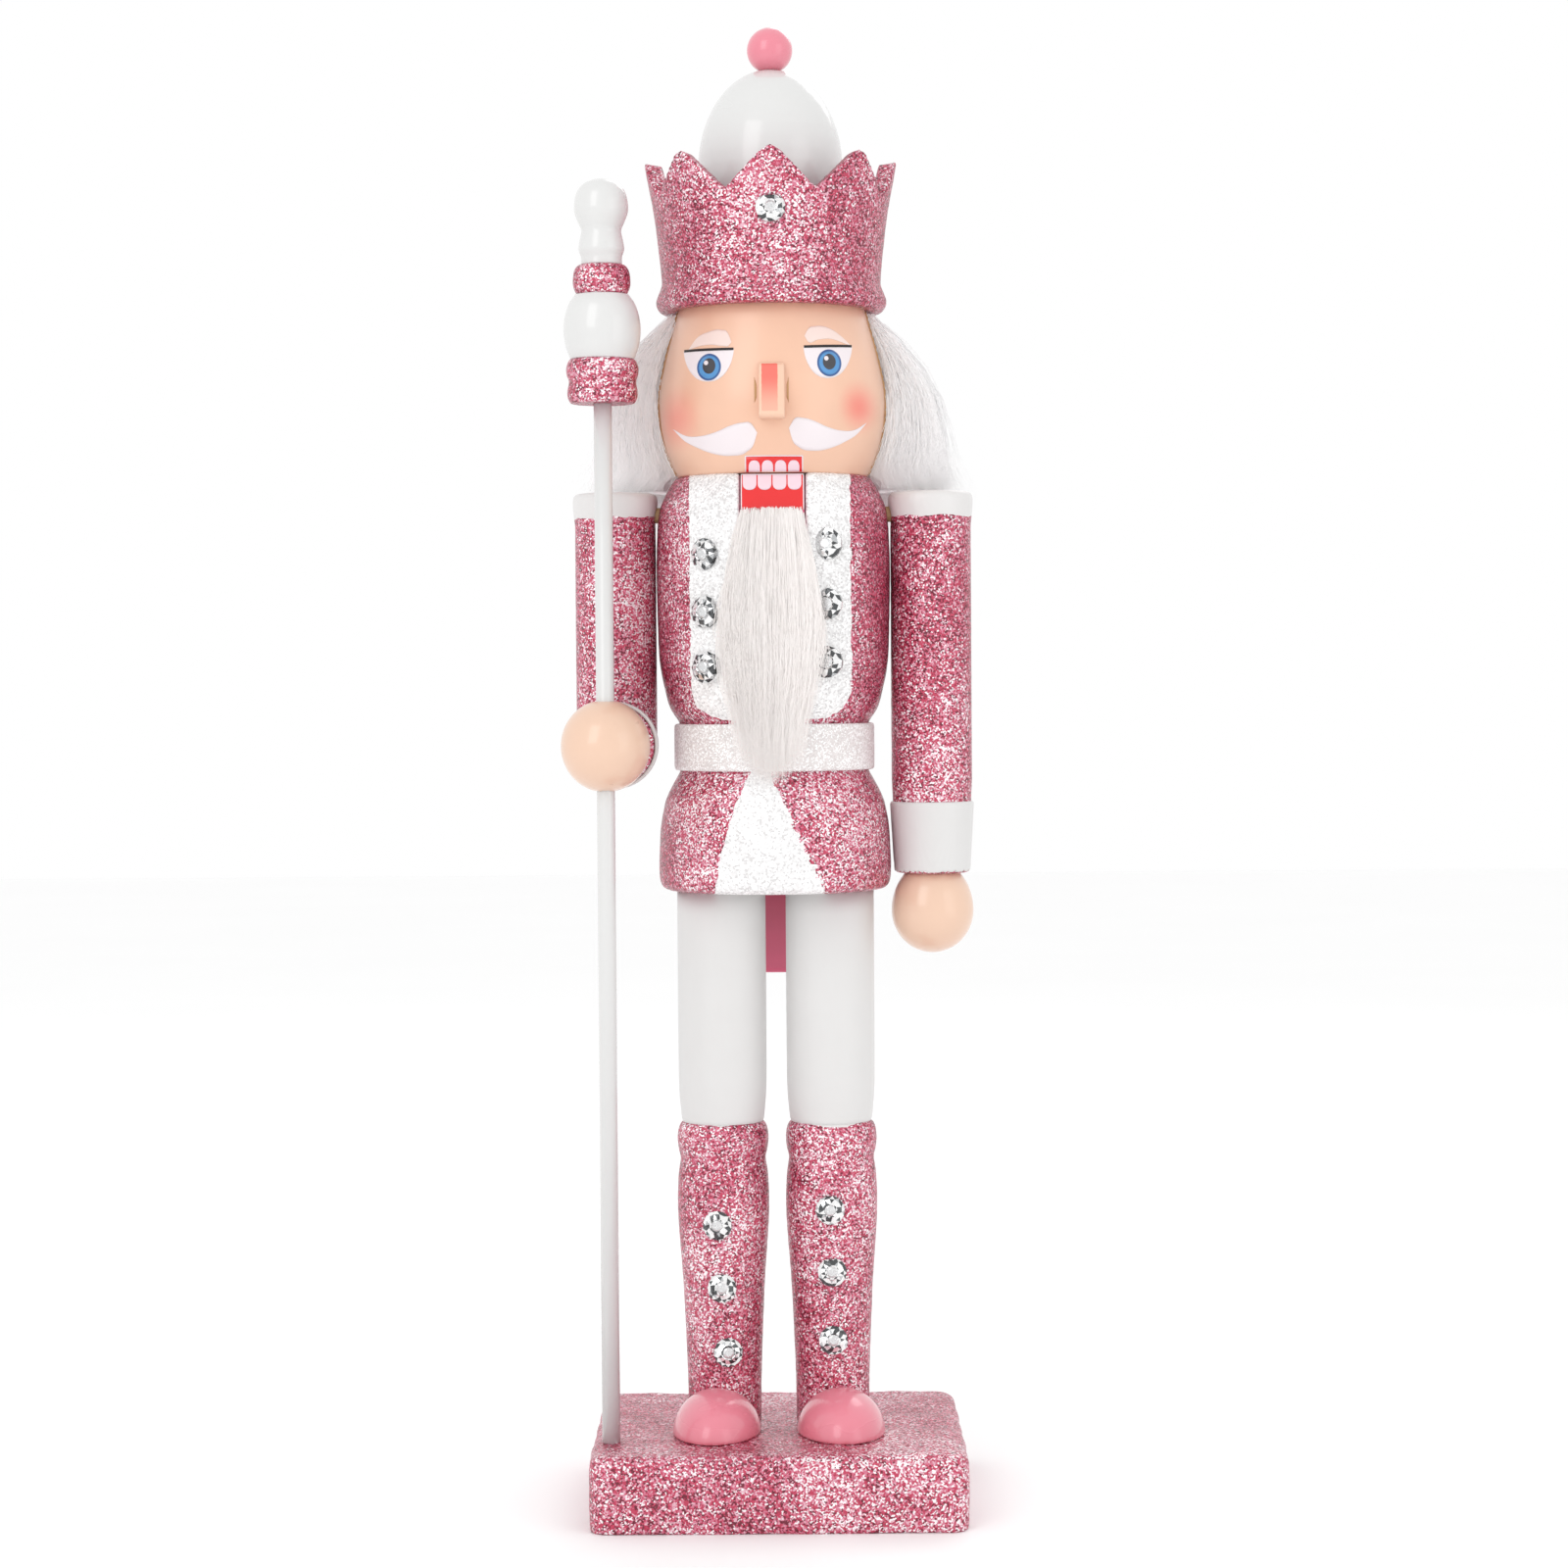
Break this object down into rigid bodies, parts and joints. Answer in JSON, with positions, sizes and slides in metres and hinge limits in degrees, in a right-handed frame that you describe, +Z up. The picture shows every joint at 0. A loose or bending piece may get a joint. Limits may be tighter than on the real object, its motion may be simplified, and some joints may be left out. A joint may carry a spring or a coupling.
{
  "type": "nutcracker figure",
  "caption": "Standing turned-wood king nutcracker on a block, with a hinged jaw worked by a back lever, fur hair and beard, an open crown and a loose staff.",
  "frame": {"origin": "centre of the base block's underside, on the surface the figure stands on", "axes": "+Z up along the figure; -Y is the front, where the face looks; the staff stands on the -X side"},
  "size_m": [0.1052, 0.0868, 0.3794],
  "materials": {
    "pink_glitter": "turned wood under a thick coat of pink glitter in clear glue",
    "white_glitter": "white craft foam with fine white glitter",
    "pink_gloss": "wood under glossy pink enamel",
    "lever_pink": "wood under satin rose paint",
    "white_satin": "turned wood under satin white paint",
    "white_gloss": "turned wood under glossy white enamel",
    "skin_paint": "turned wood under satin skin-coloured paint with printed features",
    "hand_paint": "turned wood under glossy skin-coloured enamel",
    "white_fur": "white long-pile artificial fur",
    "gem_stone": "clear faceted flat-backed stone on silver foil",
    "bare_wood": "bare beech dowel",
    "screw_steel": "plain steel"
  },
  "bodies": {
    "figure": {"base": "pink_glitter", "base_screws": "screw_steel", "shoe_left": "pink_gloss", "shoe_right": "pink_gloss", "boot_left": "pink_glitter", "boot_right": "pink_glitter", "leg_left": "white_satin", "leg_right": "white_satin", "hip_dowels": "bare_wood", "torso": "pink_glitter", "belt": "white_glitter", "jaw_pin": "screw_steel", "neck_dowels": "bare_wood", "head": "skin_paint", "nose": "skin_paint", "hair": "white_fur", "crown_dowel": "bare_wood", "crown": "pink_glitter", "crown_dome": "white_gloss", "knob_dowel": "bare_wood", "top_knob": "pink_gloss", "crown_gem": "gem_stone", "coat_gems": "gem_stone", "boot_gems_left": "gem_stone", "boot_gems_right": "gem_stone", "shoulder_dowels": "bare_wood", "straight_arm": "pink_glitter", "straight_cuff": "white_satin", "straight_hand": "hand_paint", "staff_upper_arm": "pink_glitter", "staff_forearm": "pink_glitter", "staff_cuff": "white_satin", "staff_hand": "hand_paint", "wrist_dowels": "bare_wood", "elbow_dowel": "bare_wood"},
    "jaw": {"jaw_lever": "lever_pink", "beard": "white_fur"},
    "staff": {"staff_rod": "white_gloss", "staff_lower_collar": "pink_glitter", "staff_bulb": "white_gloss", "staff_upper_collar": "pink_glitter", "staff_knob": "white_gloss"}
  },
  "joints": [
    {"name": "jaw_hinge", "type": "hinge", "parent": "figure", "child": "jaw", "pos_m": [0, 0.002, 0.247], "axis": [1, 0, 0], "range_deg": [0, 24], "deforming": ["beard"]},
    {"name": "staff_lift", "type": "slide", "parent": "figure", "child": "staff", "axis": [0, 0, 1], "range_m": [0, 0.15]}
  ]
}
